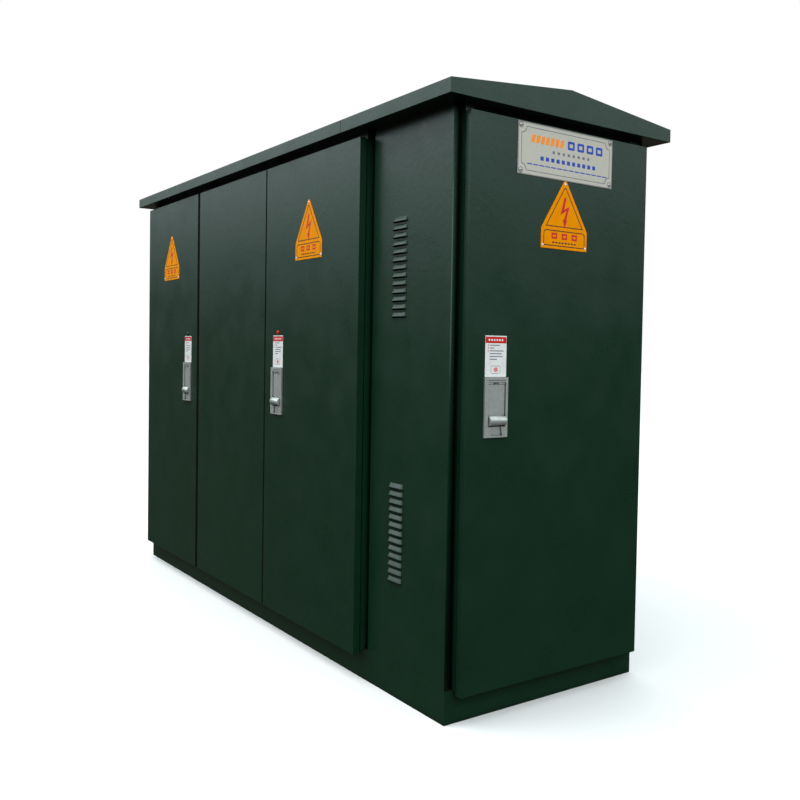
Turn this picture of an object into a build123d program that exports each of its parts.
"""Pad-mounted transformer station in a three-compartment steel enclosure.

Millimetres. Origin at the centre of the base on the ground. +X runs along the long side towards
the low-voltage end, the long front with its three doors faces -Y, and +Z is up.
"""
import os

from build123d import *

# Overall sizes
BODY_LENGTH = 3080.0
BODY_WIDTH = 974.0
BASE_HEIGHT = 123.0
WALL_TOP = 2200.0
SHEET = 3.0
HALF_L = BODY_LENGTH / 2
HALF_W = BODY_WIDTH / 2

# Roof
ROOF_HALF_L = 1620.0
ROOF_HALF_W = 565.5
FASCIA_HEIGHT = 52.0
RIDGE_RISE = 57.0
ROOF_SPLIT_X = 889.0
ROOF_JOINT_GAP = 2.0
SOFFIT_HALF_L = 1500.0
SOFFIT_HALF_W = 446.0

# Base channels
CHANNEL_DEPTH = 60.0
CHANNEL_WALL = 6.0
ANCHOR_X = 1440.0
ANCHOR_Y = HALF_W - CHANNEL_DEPTH / 2
ANCHOR_RADIUS = 9.0

# Doors, in a door's own frame: front face at y = 0, inside at +y, centred on x = 0
DOOR_BOTTOM = 109.0
DOOR_TOP = 2169.0
DOOR_PROUD = 53.0
PAN_DEPTH = 30.0
PAN_SHEET = 2.0
LIP_WIDTH = 20.0
BOTTOM_LIP = 30.0
RIM_FRONT = 35.0
GUTTER_DEPTH = 20.0
RIM_START = 3.0
RIM_LATCH_SIDE = 40.0
RIM_HINGE_SIDE = 66.0
RIM_BACK = 95.0
HEADER_RIM_BOTTOM = 2125.0
SILL_RIM_TOP = 165.0

# Door positions along the front, and the width of the end door
HV_DOOR_X = (-1490.0, -693.0)
PASSIVE_DOOR_X = (-663.0, 160.0)
TX_DOOR_X = (172.0, 1003.0)
LV_DOOR_WIDTH = 910.0
LV_PANEL_X = 1029.0
CORNER_WRAP = 16.0

# Concealed hinges
HINGE_INSET = 12.0
HINGE_SETBACK = 14.0
HINGE_LEVELS = (350.0, 1140.0, 1930.0)
PIN_RADIUS = 4.0
RUNNING_GAP = 0.05

# Lift handle and rod lock
CASE_TOP = 1242.0
CASE_WIDTH = 108.0
CASE_HEIGHT = 215.0
CASE_PROUD = 9.0
CASE_BACK = 16.0
CASE_WALL = 3.0
POCKET_LEFT = 36.0
POCKET_RIGHT = 44.0
POCKET_TOP = 10.0
POCKET_BOTTOM = 177.0
HANDLE_OFFSET = 131.0
PIVOT_DROP = 22.0
PIVOT_Y = -1.0
SHAFT_RADIUS = 2.5
WHEEL_RADII = (6.2, 3.2)
CAM_ARM = 22.0
ROD_RADIUS = 5.0
ROD_Y = 24.0
ROD_SLOT_HEIGHT = 8.4
KEEPER_TOP_Z = 2140.0
KEEPER_BOTTOM_Z = 149.0
KEEPER_GAP = 1.0

# Flush bolts of the passive door
BOLT_RADIUS = 6.0
BOLT_OFFSET = 45.0
BOLT_Y = 18.0
BOLT_LENGTH = 290.0

# Louvres
LOUVRE_WIDTH = 98.0
LOUVRE_PITCH = 30.0
LOUVRE_COUNT = 13
LOUVRE_GROUPS = (1459.0, 445.0)
LOUVRE_PROUD = 9.0
LOUVRE_HEIGHT = 20.0
LV_LOUVRE_X = 1215.0

# Rear panels
REAR_PANEL_COUNT = 3
PANEL_GAP = 3.0

# Compartments
HV_WALL_X = -686.0
LV_WALL_X = 1012.0
INNER_FRONT = -445.0
INNER_REAR = 444.0

# Warning plates and nameplate
SIGN_HALF_WIDTH = 119.0
SIGN_LEVELS = (1720.0, 1793.0, 1975.0)
SIGN_APEX_HALF_WIDTH = 6.0
NAMEPLATE_X = (-240.0, 250.0)
NAMEPLATE_Z = (1976.0, 2165.0)
PLATE_THICKNESS = 2.0

# Transformer
TANK_X = (-335.0, 665.0)
TANK_HALF_W = 210.0
TANK_BOTTOM = 203.0
TANK_TOP = 1150.0
TANK_WALL = 6.0
TANK_FOOT = 110.0
COVER_OVERHANG = 25.0
FIN_DEPTH = 80.0
FIN_PITCH = 45.0
FIN_THICKNESS = 10.0
TANK_RAIL_X = (-220.0, 490.0)
COVER_TOP = TANK_TOP + 10.0
LV_BUSHING_Y = (-150.0, -50.0, 50.0, 150.0)
LV_BUSHING_X = 480.0
LV_BUSHING_HEIGHT = 180.0
BAR_Z = COVER_TOP + LV_BUSHING_HEIGHT
HV_BUSHING_X = -170.0
HV_BUSHING_Y = (-130.0, 0.0, 130.0)
HV_BUSHING_HEIGHT = 270.0
CORE_LIMB = 100.0
CORE_PITCH = 290.0
CORE_HALF_DEPTH = 60.0
CORE_WINDOW = (330.0, 980.0)
COIL_RADII = (140.0, 85.0)

# High-voltage switchgear
CUBICLE_X = (-1400.0, -780.0)
CUBICLE_Y = (-290.0, 400.0)
CUBICLE_Z = (500.0, 1900.0)
CUBICLE_LEG = 40.0
SWITCH_X = -1090.0
SWITCH_Z = 1400.0
SWITCH_ARM = 215.0
CABLE_BUSHING_X = (-1290.0, -1090.0, -890.0)
CABLE_BUSHING_Z = 720.0

# Low-voltage switchgear
PLATE_X = 1150.0
PLATE_Z = (450.0, 1740.0)
MAIN_TOGGLE_Z = 1500.0
FEEDER_TOGGLE_Z = 970.0
FEEDER_Y = (-160.0, 160.0)
MAIN_BREAKER_Z = (1320.0, 1690.0)
FEEDER_BREAKER_Z = (850.0, 1110.0)
BUSBAR_THICKNESS = 8.0
BUSBAR_HALF_WIDTH = 22.0

NODES = {}


def block(x0, x1, y0, y1, z0, z1):
    """Box between two opposite corners."""
    centre = Pos((x0 + x1) / 2, (y0 + y1) / 2, (z0 + z1) / 2)
    return centre * Box(abs(x1 - x0), abs(y1 - y0), abs(z1 - z0))


def tube(x0, x1, y0, y1, z0, z1, axis, wall=SHEET):
    """Rectangular hollow section that is open at both ends along one axis."""
    inset = {"x": (-1, wall, wall), "y": (wall, -1, wall), "z": (wall, wall, -1)}[axis]
    dx, dy, dz = inset
    hollow = block(x0 + dx, x1 - dx, y0 + dy, y1 - dy, z0 + dz, z1 - dz)
    return block(x0, x1, y0, y1, z0, z1) - hollow


def prism(points, direction):
    """Straight prism from a closed outline."""
    return Solid.extrude(Face(Wire.make_polygon(points)), Vector(*direction))


def rod(radius, start, end):
    """Round bar between two points."""
    axis = Vector(*end) - Vector(*start)
    return Solid.make_cylinder(radius, axis.length, Plane(origin=start, z_dir=axis))


def frustum(r0, r1, start, end):
    """Cone frustum between two points."""
    axis = Vector(*end) - Vector(*start)
    return Solid.make_cone(r0, r1, axis.length, Plane(origin=start, z_dir=axis))


def add(name, *shapes):
    """Collect solids under a node name."""
    NODES.setdefault(name, []).extend(shapes)


def write_nodes():
    """Write one STEP file for each node."""
    os.makedirs("parts", exist_ok=True)
    for name, shapes in NODES.items():
        solids = [solid for shape in shapes for solid in shape.solids()]
        export_step(Compound(children=solids), f"parts/{name}.step")


# --- Base -------------------------------------------------------------------------------------

def channel_x(side):
    """Long base channel with its web outside; side is -1 at the front and +1 at the rear."""
    y_web = side * HALF_W
    y_back = side * (HALF_W - CHANNEL_DEPTH)
    y_inner = side * (HALF_W - CHANNEL_WALL)
    body = block(-HALF_L, HALF_L, min(y_web, y_back), max(y_web, y_back), 0, BASE_HEIGHT)
    low, high = sorted((y_inner, y_back - side))
    x_end = HALF_L - CHANNEL_WALL
    body -= block(-x_end, x_end, low, high, CHANNEL_WALL, BASE_HEIGHT - CHANNEL_WALL)
    for x in (-ANCHOR_X, 0.0, ANCHOR_X):
        body -= Pos(x, side * ANCHOR_Y, CHANNEL_WALL / 2) * Cylinder(ANCHOR_RADIUS, 2 * CHANNEL_WALL)
    return body


def channel_y(x_web, x_back):
    """Cross channel between the two long channels."""
    direction = 1 if x_back > x_web else -1
    y_end = HALF_W - CHANNEL_DEPTH
    body = block(min(x_web, x_back), max(x_web, x_back), -y_end, y_end, 0, BASE_HEIGHT)
    low, high = sorted((x_web + direction * CHANNEL_WALL, x_back + direction))
    return body - block(low, high, -y_end - 1, y_end + 1, CHANNEL_WALL, BASE_HEIGHT - CHANNEL_WALL)


def make_base():
    add("base_frame", channel_x(-1), channel_x(1))
    add("base_frame", channel_y(-HALF_L, -HALF_L + CHANNEL_DEPTH))
    add("base_frame", channel_y(HALF_L, HALF_L - CHANNEL_DEPTH))
    for x_web in (HV_WALL_X - 28, TANK_RAIL_X[0], TANK_RAIL_X[1], LV_WALL_X - 28):
        add("base_frame", channel_y(x_web, x_web + CHANNEL_DEPTH))
    cable_half_width = 110.0
    for x0, x1 in ((-HALF_L + 62, HV_WALL_X - 2), (LV_WALL_X + 5, HALF_L - 62)):
        for side in (-1, 1):
            low, high = sorted((side * cable_half_width, side * (HALF_W - CHANNEL_DEPTH)))
            add("floor_plates", block(x0, x1, low, high, BASE_HEIGHT, BASE_HEIGHT + SHEET))


# --- Body frame and walls ---------------------------------------------------------------------

def front_y(local_y):
    """World y of a depth measured in from the front doors' faces."""
    return -HALF_W - DOOR_PROUD + local_y


def end_x(local_y):
    """World x of a depth measured in from the end door's face."""
    return HALF_L + DOOR_PROUD - local_y


def make_front_frame():
    rim, plane = front_y(RIM_FRONT), -HALF_W
    gutter, back = plane + GUTTER_DEPTH, front_y(RIM_BACK)
    left_edge = HV_DOOR_X[0] + RIM_START
    right_edge = TX_DOOR_X[1] - RIM_START
    posts = (
        (left_edge, HV_DOOR_X[0] + RIM_HINGE_SIDE),
        (HV_DOOR_X[1] - RIM_LATCH_SIDE, PASSIVE_DOOR_X[0] + RIM_HINGE_SIDE),
        (PASSIVE_DOOR_X[1] - RIM_LATCH_SIDE, TX_DOOR_X[0] + RIM_LATCH_SIDE),
        (TX_DOOR_X[1] - RIM_HINGE_SIDE, right_edge),
    )
    for x0, x1 in posts:
        add("body_frame", tube(x0, x1, rim, back, BASE_HEIGHT, WALL_TOP, "z"))
    for (_, x0), (x1, _) in zip(posts[:-1], posts[1:]):
        add("body_frame", tube(x0, x1, rim, back, BASE_HEIGHT, SILL_RIM_TOP, "x"))
        add("body_frame", tube(x0, x1, rim, back, HEADER_RIM_BOTTOM, DOOR_TOP - RIM_START, "x"))
        add("body_frame", tube(x0, x1, plane, back, DOOR_TOP - RIM_START, WALL_TOP, "x"))
    corner_inner = HV_DOOR_X[0] - 26
    add("body_frame", tube(-HALF_L + SHEET, corner_inner, plane, back, BASE_HEIGHT, WALL_TOP, "z"))
    add("body_frame", block(corner_inner, left_edge, gutter, gutter + SHEET, BASE_HEIGHT, WALL_TOP))
    add("body_frame", block(right_edge, LV_PANEL_X, gutter, gutter + SHEET, BASE_HEIGHT, WALL_TOP))


def make_end_frame():
    rim, plane = end_x(RIM_FRONT), HALF_L
    gutter, back = plane - GUTTER_DEPTH, end_x(RIM_BACK)
    half_door = LV_DOOR_WIDTH / 2
    rim_out = half_door - RIM_START
    rim_latch = half_door - RIM_LATCH_SIDE
    rim_hinge = half_door - RIM_HINGE_SIDE
    for y0, y1 in ((-rim_out, -rim_latch), (rim_hinge, rim_out)):
        add("body_frame", tube(back, rim, y0, y1, BASE_HEIGHT, WALL_TOP, "z"))
    add("body_frame", tube(back, rim, -rim_latch, rim_hinge, BASE_HEIGHT, SILL_RIM_TOP, "y"))
    add("body_frame",
        tube(back, rim, -rim_latch, rim_hinge, HEADER_RIM_BOTTOM, DOOR_TOP - RIM_START, "y"))
    add("body_frame",
        tube(back, plane, -rim_latch, rim_hinge, DOOR_TOP - RIM_START, WALL_TOP, "y"))
    for side in (-1, 1):
        low, high = sorted((side * rim_out, side * (HALF_W - SHEET)))
        add("body_frame", tube(back, gutter, low, high, BASE_HEIGHT, WALL_TOP, "z"))


def make_rear_and_left_frame():
    rear_y0, rear_y1 = INNER_REAR, HALF_W - SHEET
    post = 50.0
    left_x0 = -HALF_L + SHEET
    centres = [rear_joint_x(index) for index in range(1, REAR_PANEL_COUNT)]
    posts = [(left_x0, left_x0 + post)]
    posts += [(centre - post / 2, centre + post / 2) for centre in centres]
    posts += [(LV_PANEL_X - post / 2, LV_PANEL_X + post / 2)]
    for x0, x1 in posts:
        add("body_frame", tube(x0, x1, rear_y0, rear_y1, BASE_HEIGHT, WALL_TOP, "z"))
    ends = posts + [(end_x(RIM_BACK), 0)]
    for (_, x0), (x1, _) in zip(ends[:-1], ends[1:]):
        for z0 in (BASE_HEIGHT, WALL_TOP - post):
            add("body_frame", tube(x0, x1, rear_y0, rear_y1, z0, z0 + post, "x"))
    for z0 in (BASE_HEIGHT, WALL_TOP - post):
        add("body_frame", tube(left_x0, left_x0 + post, INNER_FRONT, INNER_REAR, z0, z0 + post, "y"))


def rear_joint_x(index):
    """Joint between two rear panels, counted from the left end."""
    return -HALF_L + index * (LV_PANEL_X + HALF_L) / REAR_PANEL_COUNT


def louvre_levels():
    """Bottom edge of every louvre."""
    return [z0 + step * LOUVRE_PITCH for z0 in LOUVRE_GROUPS for step in range(LOUVRE_COUNT)]


def louvred(sheet, centres, outside, side):
    """Press rows of downward-opening louvres out of a wall sheet whose outer face is at y."""
    hoods = []
    slots = []
    for x in centres:
        for z in louvre_levels():
            x0, x1 = x - LOUVRE_WIDTH / 2, x + LOUVRE_WIDTH / 2
            front = outside + side * LOUVRE_PROUD
            inside = outside - side * (SHEET + 1)
            lip = 1.8
            hood = [(x0, outside, z), (x0, front, z), (x0, outside, z + LOUVRE_HEIGHT)]
            hoods.append(prism(hood, (x1 - x0, 0, 0)))
            top = z + LOUVRE_HEIGHT - 2 * lip
            slot = [(x0 + lip, inside, z - 0.5), (x0 + lip, front - side * lip, z - 0.5),
                    (x0 + lip, outside, top), (x0 + lip, inside, top)]
            slots.append(prism(slot, (x1 - x0 - 2 * lip, 0, 0)))
    return (sheet + hoods) - slots


def make_lv_side_panels():
    """Louvred side walls that wrap round the corners of the low-voltage end."""
    plane = -HALF_W
    wrap = plane + CORNER_WRAP
    end_gutter = HALF_L - GUTTER_DEPTH
    z0, z1 = BASE_HEIGHT, WALL_TOP
    sheet = block(LV_PANEL_X, HALF_L, plane, plane + SHEET, z0, z1)
    sheet += block(HALF_L - SHEET, HALF_L, plane, wrap, z0, z1)
    sheet += block(end_gutter, HALF_L, wrap - SHEET, wrap, z0, z1)
    wall = louvred(sheet, [LV_LOUVRE_X], plane, -1)
    gutter_side = block(LV_PANEL_X, LV_PANEL_X + SHEET, plane, plane + GUTTER_DEPTH, z0, z1)
    add("lv_side_panels", wall + gutter_side, mirror(wall, about=Plane.XZ))


def make_rear_panels():
    pitch = rear_joint_x(1) - rear_joint_x(0)
    width = pitch - PANEL_GAP
    for index in range(REAR_PANEL_COUNT):
        x0 = rear_joint_x(index)
        sheet = block(x0, x0 + width, HALF_W - SHEET, HALF_W, BASE_HEIGHT, WALL_TOP)
        columns = [x0 + width / 2 + offset for offset in (-LOUVRE_WIDTH, LOUVRE_WIDTH)]
        add("rear_panels", louvred(sheet, columns, HALF_W, 1))


def make_left_panel():
    add("left_end_panel",
        block(-HALF_L, -HALF_L + SHEET, -HALF_W, HALF_W - SHEET, BASE_HEIGHT, WALL_TOP))


def make_partitions():
    z0, z1 = BASE_HEIGHT + SHEET, WALL_TOP - 55
    hv_wall = block(HV_WALL_X, HV_WALL_X + SHEET, INNER_FRONT, INNER_REAR, z0, z1)
    lv_wall = block(LV_WALL_X, LV_WALL_X + SHEET, INNER_FRONT, INNER_REAR, z0, z1)
    slot = block(LV_WALL_X - 1, LV_WALL_X + SHEET + 1, -195, 195, BAR_Z - 20, BAR_Z + 30)
    add("partitions", hv_wall, lv_wall - slot)


def make_panel_bolts():
    head_radius, head_height = 9.0, 5.0
    edge = 24.0
    levels = [BASE_HEIGHT + edge + step * (WALL_TOP - BASE_HEIGHT - 2 * edge) / 4 for step in range(5)]
    for index in range(REAR_PANEL_COUNT):
        x0 = rear_joint_x(index) + edge
        x1 = rear_joint_x(index + 1) - PANEL_GAP - edge
        for x in (x0, x1):
            for z in levels:
                add("panel_bolts", rod(head_radius, (x, HALF_W, z), (x, HALF_W + head_height, z)))
    for y in (-HALF_W + edge, HALF_W - edge):
        for z in levels:
            add("panel_bolts", rod(head_radius, (-HALF_L, y, z), (-HALF_L - head_height, y, z)))


# --- Roof -------------------------------------------------------------------------------------

def roof_outline(x, inset):
    """Gabled section of the roof at one station, inset by a sheet thickness."""
    half = ROOF_HALF_W - inset
    eave = WALL_TOP + FASCIA_HEIGHT
    ridge = eave + RIDGE_RISE
    return [(x, -half, WALL_TOP + inset), (x, half, WALL_TOP + inset), (x, half, eave - inset),
            (x, 0, ridge - inset), (x, -half, eave - inset)]


def make_roof():
    shell = prism(roof_outline(-ROOF_HALF_L, 0), (2 * ROOF_HALF_L, 0, 0))
    inner_half = ROOF_HALF_L - SHEET
    shell -= prism(roof_outline(-inner_half, SHEET), (2 * inner_half, 0, 0))
    shell -= block(-SOFFIT_HALF_L, SOFFIT_HALF_L, -SOFFIT_HALF_W, SOFFIT_HALF_W,
                   WALL_TOP - 1, WALL_TOP + SHEET + 1)
    far = 2 * ROOF_HALF_L
    low_z, high_z = WALL_TOP - 10, WALL_TOP + 200
    keep_left = block(-far, ROOF_SPLIT_X - ROOF_JOINT_GAP, -far, far, low_z, high_z)
    keep_right = block(ROOF_SPLIT_X, far, -far, far, low_z, high_z)
    add("roof_left", shell & keep_left)
    add("roof_right", shell & keep_right)


# --- Doors ------------------------------------------------------------------------------------

class Door:
    """One door leaf with its place on the body; hinge is -1 on its left and +1 on its right."""

    def __init__(self, prefix, width, hinge, place):
        self.prefix = prefix
        self.width = width
        self.hinge = hinge
        self.place = place
        self.hinge_edge = hinge * width / 2
        self.handle_x = -hinge * (width / 2 - HANDLE_OFFSET)
        self.pin_x = self.hinge_edge - hinge * HINGE_INSET

    def from_hinge(self, distance):
        """Local x at a distance in from the hinge edge."""
        return self.hinge_edge - self.hinge * distance

    def from_latch(self, distance):
        """Local x at a distance in from the free edge."""
        return -self.hinge_edge + self.hinge * distance

    def add(self, node, *shapes):
        """Place shapes of the door's own frame on the body."""
        add(node, *[self.place * shape for shape in shapes])


def front_place(x_range):
    """Place of a door on the front."""
    return Pos(sum(x_range) / 2, front_y(0), 0)


def end_place():
    """Place of the door on the low-voltage end."""
    return Pos(end_x(0), 0, 0) * Rot(0, 0, 90)


def span(x0, x1, y0, y1, z0, z1):
    """Box whose x limits may come in either order."""
    return block(min(x0, x1), max(x0, x1), y0, y1, z0, z1)


def make_leaf(door, with_handle):
    half = door.width / 2
    leaf = block(-half, half, 0, PAN_DEPTH, DOOR_BOTTOM, DOOR_TOP)
    leaf -= block(-half + PAN_SHEET, half - PAN_SHEET, PAN_SHEET, PAN_DEPTH + 1,
                  DOOR_BOTTOM + PAN_SHEET, DOOR_TOP - PAN_SHEET)
    lip_y = PAN_DEPTH - PAN_SHEET
    lip_end = door.from_hinge(48)
    leaf += span(door.from_latch(0), door.from_latch(LIP_WIDTH), lip_y, PAN_DEPTH,
                 DOOR_BOTTOM, DOOR_TOP)
    leaf += span(door.from_latch(0), lip_end, lip_y, PAN_DEPTH, DOOR_TOP - LIP_WIDTH, DOOR_TOP)
    leaf += span(door.from_latch(0), lip_end, lip_y, PAN_DEPTH,
                 DOOR_BOTTOM, DOOR_BOTTOM + BOTTOM_LIP)
    if with_handle:
        margin = CASE_WALL + 0.5
        leaf -= block(door.handle_x - POCKET_LEFT - margin, door.handle_x + POCKET_RIGHT + margin,
                      -1, PAN_SHEET + 1, CASE_TOP - POCKET_BOTTOM - margin, CASE_TOP - POCKET_TOP + margin)
    door.add(f"{door.prefix}_door_leaf", leaf)


def make_stiffeners(door):
    node = f"{door.prefix}_door_stiffeners"
    x0, x1 = door.from_hinge(48), door.from_hinge(78)
    door.add(node, tube(min(x0, x1), max(x0, x1), PAN_SHEET, PAN_DEPTH,
                        DOOR_BOTTOM + BOTTOM_LIP + 1, DOOR_TOP - LIP_WIDTH - 1, "z", PAN_SHEET))
    for z in (670.0, 1530.0):
        x0, x1 = door.from_latch(4), door.from_hinge(80)
        door.add(node, tube(min(x0, x1), max(x0, x1), PAN_SHEET, 16, z, z + 60, "x", PAN_SHEET))


def make_hinges(door):
    """Three concealed hinges: a cranked arm on the post, and lugs with a pin on the leaf."""
    inward = -door.hinge
    x, y = door.pin_x, HINGE_SETBACK
    arm_half, lug_gap, lug = 5.0, 6.0, 8.0
    for z in HINGE_LEVELS:
        arm = Pos(x, y, z) * Cylinder(8, 2 * arm_half)
        arm += span(x, x + inward * 31, y - 7, y + 2, z - arm_half, z + arm_half)
        arm += span(x + inward * 22, x + inward * 31, y - 7, RIM_FRONT, z - arm_half, z + arm_half)
        arm -= Pos(x, y, z) * Cylinder(PIN_RADIUS + RUNNING_GAP, 4 * arm_half)
        door.add("hinge_arms", arm)
        pin = Pos(x, y, z) * Cylinder(PIN_RADIUS, 2 * (lug_gap + lug + 2))
        for side in (-1, 1):
            low, high = sorted((z + side * lug_gap, z + side * (lug_gap + lug)))
            pin += span(x - inward * (HINGE_INSET - PAN_SHEET), x + inward * 8,
                        PAN_SHEET, y + 8, low, high)
        door.add(f"{door.prefix}_door_hinge_pins", pin)


def make_seals(door):
    """Foam strips on the rim around one door."""
    y0, y1 = PAN_DEPTH + 0.2, RIM_FRONT
    latch0, latch1 = door.from_latch(4), door.from_latch(16)
    hinge0, hinge1 = door.from_hinge(62), door.from_hinge(50)
    z0, z1, z2, z3 = 125.0, 137.0, DOOR_TOP - 16, DOOR_TOP - 4
    door.add("door_seals", span(latch0, latch1, y0, y1, z0, z3), span(hinge0, hinge1, y0, y1, z0, z3))
    door.add("door_seals", span(latch1, hinge0, y0, y1, z0, z1), span(latch1, hinge0, y0, y1, z2, z3))


def make_keeper(door, x, z0, z1, hole_radius, hole_y):
    """Catch plate on the rim that a lock rod enters."""
    plate = block(x - 16, x + 16, 8, RIM_FRONT, z0, z1)
    plate -= Pos(x, hole_y, (z0 + z1) / 2) * Cylinder(hole_radius, 20)
    door.add("body_frame", plate)


def make_handle_case(door):
    """Cast tray in the leaf: bezel, lever pocket, finger ramp below and a bar over the knuckles."""
    x, top = door.handle_x, CASE_TOP
    half = CASE_WIDTH / 2
    case = block(x - half, x + half, -CASE_PROUD, 0, top - CASE_HEIGHT, top)
    case += block(x - POCKET_LEFT - CASE_WALL, x + POCKET_RIGHT + CASE_WALL, 0, CASE_BACK,
                  top - POCKET_BOTTOM - CASE_WALL, top - POCKET_TOP + CASE_WALL)
    case -= block(x - POCKET_LEFT, x + POCKET_RIGHT, -CASE_PROUD - 1, CASE_BACK - CASE_WALL,
                  top - POCKET_BOTTOM, top - POCKET_TOP)
    ramp_top, ramp_bottom = top - POCKET_BOTTOM + 1, top - CASE_HEIGHT + 6
    ramp = [(x - 24, -CASE_PROUD - 1, ramp_bottom), (x + 30, -CASE_PROUD - 1, ramp_bottom),
            (x + 24, -CASE_PROUD - 1, ramp_top), (x - 20, -CASE_PROUD - 1, ramp_top)]
    case -= prism(ramp, (0, 7, 0))
    case += block(x - POCKET_LEFT, x + POCKET_RIGHT, -CASE_PROUD, -7, top - 18, top - 12)
    pivot_z = top - PIVOT_DROP
    bore = SHAFT_RADIUS + RUNNING_GAP
    case -= rod(bore, (x - POCKET_LEFT - CASE_WALL + 0.2, PIVOT_Y, pivot_z),
                (x + POCKET_RIGHT + CASE_WALL - 0.2, PIVOT_Y, pivot_z))
    case -= rod(PIN_RADIUS + RUNNING_GAP, (x, CASE_BACK - 5, pivot_z), (x, CASE_BACK + 1, pivot_z))
    door.add(f"{door.prefix}_handle_case", case)


def make_handle_lever(door):
    """Lift lever: plate, two knuckles on a shaft, half-round grip and a plain bevel wheel."""
    x, pivot_z = door.handle_x, CASE_TOP - PIVOT_DROP
    left, right = x - 34, x + 42
    plate_bottom = CASE_TOP - 150
    lever = block(left, right, PIVOT_Y - 3, PIVOT_Y + 2, plate_bottom, pivot_z - 4)
    for x0, x1 in ((left, x - 12), (x + 12, right)):
        lever += rod(5.5, (x0, PIVOT_Y, pivot_z), (x1, PIVOT_Y, pivot_z))
    reach = CASE_WALL - 0.7
    lever += rod(SHAFT_RADIUS, (x - POCKET_LEFT - reach, PIVOT_Y, pivot_z),
                 (x + POCKET_RIGHT + reach, PIVOT_Y, pivot_z))
    lever += frustum(*WHEEL_RADII, (x - 7, PIVOT_Y, pivot_z), (x - 4, PIVOT_Y, pivot_z))
    grip_z, grip_radius = CASE_TOP - 156, 18.0
    grip = rod(grip_radius, (left, PIVOT_Y - 3, grip_z), (right, PIVOT_Y - 3, grip_z))
    grip -= block(left - 1, right + 1, PIVOT_Y, PIVOT_Y + 40, grip_z - 30, grip_z + 30)
    finger_y, finger_z = PIVOT_Y - 1, grip_z - 9
    finger = rod(grip_radius - 5, (left + 6, finger_y, finger_z), (right - 6, finger_y, finger_z))
    door.add(f"{door.prefix}_handle_lever", (lever + grip) - finger)


def make_lock_cam(door):
    """Two-armed cam on a spindle square to the door, driven by the lever's bevel wheel."""
    x, z = door.handle_x, CASE_TOP - PIVOT_DROP
    cam = frustum(*reversed(WHEEL_RADII), (x, PIVOT_Y + 4, z), (x, PIVOT_Y + 7, z))
    cam += rod(PIN_RADIUS, (x, PIVOT_Y + 7, z), (x, CASE_BACK + 1, z))
    cam += block(x - CAM_ARM - 7, x + CAM_ARM + 7, CASE_BACK + 1, CASE_BACK + 4, z - 7, z + 7)
    for side in (-1, 1):
        pin_x = x + side * CAM_ARM
        cam += rod(3, (pin_x, CASE_BACK + 4, z), (pin_x, CASE_BACK + 11, z))
    door.add(f"{door.prefix}_lock_cam", cam)


def make_lock_rod(door, side, name, tip_z):
    """Round rod with a slotted end plate; side is -1 for the upper rod and +1 for the lower one."""
    x, z = door.handle_x + side * CAM_ARM, CASE_TOP - PIVOT_DROP
    away = 1 if tip_z > z else -1
    plate = span(x + side * 10, x - side * 18, 21, 25, z - 10, z + 10)
    low, high = sorted((z - away * 10, z + away * 45))
    plate += block(x - ROD_RADIUS, x + ROD_RADIUS, 21, 25, low, high)
    plate -= span(x + side * 3.5, x - side * 11.5, 20, 26, z - ROD_SLOT_HEIGHT / 2, z + ROD_SLOT_HEIGHT / 2)
    bar = rod(ROD_RADIUS, (x, ROD_Y, z + away * 25), (x, ROD_Y, tip_z))
    door.add(f"{door.prefix}_{name}_rod", plate + bar)
    node = f"{door.prefix}_door_stiffeners"
    far_guide = tip_z - away * 60
    near_guide = 1560.0 if away > 0 else 700.0
    for guide_z, foot_y in ((far_guide, PAN_SHEET), (near_guide, 16)):
        guide = block(x - 12, x + 12, foot_y, ROD_Y + 5.9, guide_z - 5, guide_z + 5)
        guide -= Pos(x, ROD_Y, guide_z) * Cylinder(ROD_RADIUS + 0.1, 12)
        door.add(node, guide)


def make_flush_bolts(door):
    x = door.from_latch(BOLT_OFFSET)
    for name, tip_z, away in (("top", KEEPER_TOP_Z - KEEPER_GAP, 1),
                              ("bottom", KEEPER_BOTTOM_Z + KEEPER_GAP, -1)):
        tail_z = tip_z - away * BOLT_LENGTH
        bolt = rod(BOLT_RADIUS, (x, BOLT_Y, tail_z), (x, BOLT_Y, tip_z))
        tab_low, tab_high = sorted((tail_z, tail_z + away * 12))
        bolt += block(x - 10, x + 10, BOLT_Y - 6, BOLT_Y + 14, tab_low, tab_high)
        door.add(f"passive_{name}_bolt", bolt)
        for distance in (60.0, 200.0):
            z = tip_z - away * distance
            guide = block(x - 12, x + 12, PAN_SHEET, BOLT_Y + 8, z - 5, z + 5)
            guide -= Pos(x, BOLT_Y, z) * Cylinder(BOLT_RADIUS + 0.1, 12)
            door.add("passive_door_stiffeners", guide)


def make_sign(door):
    """House-shaped warning plate with three rivets."""
    half, tip = SIGN_HALF_WIDTH, SIGN_APEX_HALF_WIDTH
    z0, shoulder, apex = SIGN_LEVELS
    outline = [(-half, 0, z0), (half, 0, z0), (half, 0, shoulder), (tip, 0, apex), (-tip, 0, apex),
               (-half, 0, shoulder)]
    plate = prism(outline, (0, -PLATE_THICKNESS, 0))
    rivets = [(-half + 9, z0 + 12), (half - 9, z0 + 12), (0, apex - 11)]
    node = f"{door.prefix}_door_sign"
    door.add(node, plate)
    for x, z in rivets:
        door.add(node, rod(4, (x, -PLATE_THICKNESS, z), (x, -3.5, z)))


def make_nameplate(door):
    x0, x1 = NAMEPLATE_X
    z0, z1 = NAMEPLATE_Z
    door.add("lv_door_nameplate", block(x0, x1, -PLATE_THICKNESS, 0, z0, z1))
    for x in (x0 + 14, x1 - 14):
        for z in (z0 + 14, z1 - 14):
            door.add("lv_door_nameplate", rod(5, (x, -PLATE_THICKNESS, z), (x, -4, z)))


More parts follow.
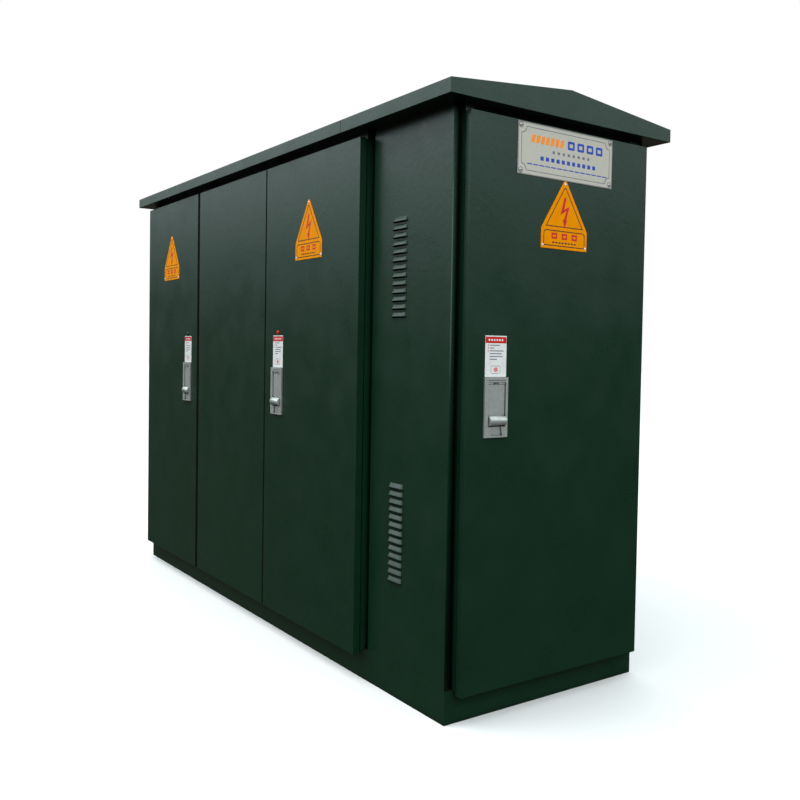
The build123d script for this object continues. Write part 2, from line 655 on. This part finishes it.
def make_doors():
    doors = [
        Door("hv", HV_DOOR_X[1] - HV_DOOR_X[0], -1, front_place(HV_DOOR_X)),
        Door("tx", TX_DOOR_X[1] - TX_DOOR_X[0], 1, front_place(TX_DOOR_X)),
        Door("lv", LV_DOOR_WIDTH, 1, end_place()),
    ]
    for door in doors:
        make_leaf(door, True)
        make_stiffeners(door)
        make_hinges(door)
        make_seals(door)
        make_handle_case(door)
        make_handle_lever(door)
        make_lock_cam(door)
        make_lock_rod(door, -1, "upper", KEEPER_TOP_Z - KEEPER_GAP)
        make_lock_rod(door, 1, "lower", KEEPER_BOTTOM_Z + KEEPER_GAP)
        hole = ROD_RADIUS + 1
        make_keeper(door, door.handle_x - CAM_ARM, KEEPER_TOP_Z, KEEPER_TOP_Z + 4, hole, ROD_Y)
        make_keeper(door, door.handle_x + CAM_ARM, KEEPER_BOTTOM_Z - 4, KEEPER_BOTTOM_Z, hole, ROD_Y)
        make_sign(door)
    make_nameplate(doors[-1])
    passive = Door("passive", PASSIVE_DOOR_X[1] - PASSIVE_DOOR_X[0], -1, front_place(PASSIVE_DOOR_X))
    make_leaf(passive, False)
    make_stiffeners(passive)
    make_hinges(passive)
    make_seals(passive)
    make_flush_bolts(passive)
    bolt_x = passive.from_latch(BOLT_OFFSET)
    make_keeper(passive, bolt_x, KEEPER_TOP_Z, KEEPER_TOP_Z + 4, BOLT_RADIUS + 1, BOLT_Y)
    make_keeper(passive, bolt_x, KEEPER_BOTTOM_Z - 4, KEEPER_BOTTOM_Z, BOLT_RADIUS + 1, BOLT_Y)


# --- Transformer ------------------------------------------------------------------------------

def make_tank():
    x0, x1 = TANK_X
    tank = block(x0, x1, -TANK_HALF_W, TANK_HALF_W, TANK_BOTTOM, TANK_TOP)
    tank -= block(x0 + TANK_WALL, x1 - TANK_WALL, -TANK_HALF_W + TANK_WALL, TANK_HALF_W - TANK_WALL,
                  TANK_BOTTOM + TANK_WALL, TANK_TOP + 1)
    count = int((x1 - x0 - 2 * FIN_PITCH) / FIN_PITCH) + 1
    fins = []
    for index in range(count):
        x = x0 + FIN_PITCH + index * FIN_PITCH
        for side in (-1, 1):
            low, high = sorted((side * TANK_HALF_W, side * (TANK_HALF_W + FIN_DEPTH)))
            fins.append(block(x, x + FIN_THICKNESS, low, high, TANK_BOTTOM + TANK_FOOT, TANK_TOP - TANK_FOOT))
    add("tx_tank", tank + fins)
    for x in TANK_RAIL_X:
        add("tx_tank",
            tube(x, x + CHANNEL_DEPTH, -TANK_HALF_W, TANK_HALF_W, BASE_HEIGHT, TANK_BOTTOM, "y",
                 CHANNEL_WALL))
    half_w = TANK_HALF_W + COVER_OVERHANG
    add("tx_cover", block(x0 - COVER_OVERHANG, x1 + COVER_OVERHANG, -half_w, half_w, TANK_TOP, COVER_TOP))


def make_core_and_coils():
    centre_x = sum(TANK_X) / 2
    low, high = CORE_WINDOW
    half, deep = CORE_PITCH + CORE_LIMB / 2, CORE_HALF_DEPTH
    limbs = [centre_x + step * CORE_PITCH for step in (-1, 0, 1)]
    core = block(centre_x - half, centre_x + half, -deep, deep, TANK_BOTTOM + TANK_WALL, low)
    core += block(centre_x - half, centre_x + half, -deep, deep, high, high + CORE_LIMB + 10)
    for x in limbs:
        core += block(x - CORE_LIMB / 2, x + CORE_LIMB / 2, -deep, deep, low, high)
    add("tx_core_and_coils", core)
    outer, inner = COIL_RADII
    for x in limbs:
        middle = Pos(x, 0, (low + high) / 2)
        coil = middle * Cylinder(outer, high - low - 40)
        coil -= middle * Cylinder(inner, high - low)
        add("tx_core_and_coils", coil)


def bushing(x, y, z, height, radius, sheds):
    """Porcelain bushing with evenly spaced sheds and a terminal stud."""
    body = frustum(radius * 0.62, radius * 0.45, (x, y, z), (x, y, z + height - 30))
    step = (height - 60) / sheds
    for index in range(sheds):
        low = z + 12 + index * step
        body += frustum(radius, radius * 0.62, (x, y, low), (x, y, low + step * 0.6))
    return body + rod(radius * 0.25, (x, y, z + height - 31), (x, y, z + height))


def make_tx_bushings():
    for y in HV_BUSHING_Y:
        add("tx_hv_bushings", bushing(HV_BUSHING_X, y, COVER_TOP, HV_BUSHING_HEIGHT, 42, 6))
    for y in LV_BUSHING_Y:
        add("tx_lv_bushings", bushing(LV_BUSHING_X, y, COVER_TOP, LV_BUSHING_HEIGHT, 32, 3))


# --- High-voltage switchgear ------------------------------------------------------------------

def make_hv_switchgear():
    x0, x1 = CUBICLE_X
    y0, y1 = CUBICLE_Y
    z0, z1 = CUBICLE_Z
    cubicle = block(x0, x1, y0, y1, z0, z1)
    cubicle -= block(x0 + SHEET, x1 - SHEET, y0 + SHEET, y1 - SHEET, z0 + SHEET, z1 - SHEET)
    cubicle += rod(40, (SWITCH_X, y0 + 1, SWITCH_Z), (SWITCH_X, y0 - 12, SWITCH_Z))
    cubicle -= rod(8 + RUNNING_GAP, (SWITCH_X, y0 + 40, SWITCH_Z), (SWITCH_X, y0 - 13, SWITCH_Z))
    add("hv_switch_cubicle", cubicle)
    leg = CUBICLE_LEG
    for leg_x in (x0, x1 - leg):
        for leg_y in (y0, y1 - leg):
            add("hv_switch_cubicle",
                tube(leg_x, leg_x + leg, leg_y, leg_y + leg, BASE_HEIGHT + SHEET, z0, "z"))
    knob_z = SWITCH_Z - SWITCH_ARM
    lever = rod(8, (SWITCH_X, y0 + 20, SWITCH_Z), (SWITCH_X, y0 - 14, SWITCH_Z))
    lever += rod(22, (SWITCH_X, y0 - 13, SWITCH_Z), (SWITCH_X, y0 - 33, SWITCH_Z))
    lever += block(SWITCH_X - 11, SWITCH_X + 11, y0 - 31, y0 - 17, knob_z - 5, SWITCH_Z)
    lever += rod(16, (SWITCH_X, y0 - 15, knob_z), (SWITCH_X, y0 - 75, knob_z))
    add("hv_switch_lever", lever)
    z = CABLE_BUSHING_Z
    for x in CABLE_BUSHING_X:
        cone = frustum(38, 24, (x, y0, z), (x, y0 - 100, z))
        cone += rod(9, (x, y0 - 99, z), (x, y0 - 120, z))
        add("hv_cable_bushings", cone)


# --- Low-voltage switchgear -------------------------------------------------------------------

def breaker(depth, y, half_y, z0, z1, toggle_z, scale):
    """Moulded-case breaker with a recess for its toggle."""
    front = PLATE_X + SHEET + depth
    case = block(PLATE_X + SHEET, front, y - half_y, y + half_y, z0, z1)
    case += block(front, front + 8, y - half_y * 0.6, y + half_y * 0.6,
                  toggle_z - 62 * scale, toggle_z + 62 * scale)
    case -= block(front + 8 - 34 * scale, front + 9, y - 17 * scale, y + 17 * scale,
                  toggle_z - 44 * scale, toggle_z + 44 * scale)
    pivot = (front + 8 - 18 * scale, y, toggle_z)
    toggle = rod(13 * scale, (pivot[0], y - 16 * scale, toggle_z), (pivot[0], y + 16 * scale, toggle_z))
    blade = block(pivot[0], pivot[0] + 52 * scale, y - 13 * scale, y + 13 * scale,
                  toggle_z - 6 * scale, toggle_z + 6 * scale)
    toggle += blade.rotate(Axis(pivot, (0, 1, 0)), 20)
    return case, toggle


def make_lv_switchgear():
    add("lv_mounting_plate", block(PLATE_X, PLATE_X + SHEET, -420, 420, *PLATE_Z))
    for side in (-1, 1):
        low, high = sorted((side * 380, side * 420))
        add("lv_mounting_plate",
            tube(PLATE_X - 40, PLATE_X, low, high, BASE_HEIGHT + SHEET, HEADER_RIM_BOTTOM, "z"))
    case, toggle = breaker(120, 0, 190, *MAIN_BREAKER_Z, MAIN_TOGGLE_Z, 1.0)
    add("lv_main_breaker", case)
    add("lv_main_toggle", toggle)
    for index, y in enumerate(FEEDER_Y, start=1):
        case, toggle = breaker(90, y, 70, *FEEDER_BREAKER_Z, FEEDER_TOGGLE_Z, 0.75)
        add("lv_feeder_breakers", case)
        add(f"lv_feeder_toggle_{index}", toggle)
    thickness, half = BUSBAR_THICKNESS, BUSBAR_HALF_WIDTH
    rise_x, drop_x, top = PLATE_X - 20, PLATE_X + 62, PLATE_Z[1] + 10
    for y in LV_BUSHING_Y:
        low, high = y - half, y + half
        add("lv_busbars",
            block(LV_BUSHING_X - 25, rise_x, low, high, BAR_Z, BAR_Z + thickness),
            block(rise_x, rise_x + thickness, low, high, BAR_Z, top + thickness),
            block(rise_x + thickness, drop_x, low, high, top, top + thickness),
            block(drop_x, drop_x + thickness, low, high, MAIN_BREAKER_Z[1], top + thickness))


make_base()
make_front_frame()
make_end_frame()
make_rear_and_left_frame()
make_lv_side_panels()
make_rear_panels()
make_left_panel()
make_partitions()
make_panel_bolts()
make_roof()
make_doors()
make_tank()
make_core_and_coils()
make_tx_bushings()
make_hv_switchgear()
make_lv_switchgear()
write_nodes()
